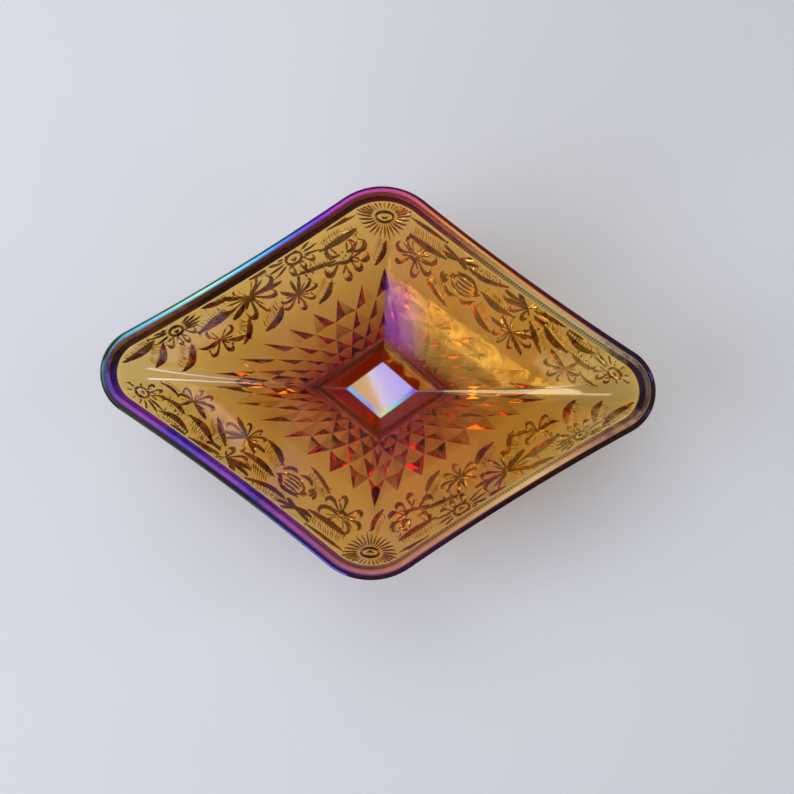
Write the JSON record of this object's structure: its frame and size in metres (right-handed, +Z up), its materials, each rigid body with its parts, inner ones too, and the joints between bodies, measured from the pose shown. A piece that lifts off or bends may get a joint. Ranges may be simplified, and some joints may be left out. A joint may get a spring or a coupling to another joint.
{
  "type": "pressed glass bowl",
  "caption": "Rhombic pressed glass bowl in amber glass: rounded lip over a plain band, creased panels, small flat rhombic foot, and an iridescent lustre film inside and out.",
  "frame": {"origin": "centre of the foot's flat resting face", "axes": "+Z up out of the bowl, +X along the long diagonal of the rhombus, +Y along the short diagonal"},
  "size_m": [0.21, 0.1484, 0.062],
  "materials": {
    "amber_glass": "clear amber soda-lime glass, pressed and fire-polished",
    "lustre_film": "glossy iridescent metal-oxide lustre, sprayed on hot"
  },
  "bodies": {
    "root": {"glass_body": "amber_glass", "lustre_film_inside": "lustre_film", "lustre_film_outside": "lustre_film"}
  },
  "joints": []
}
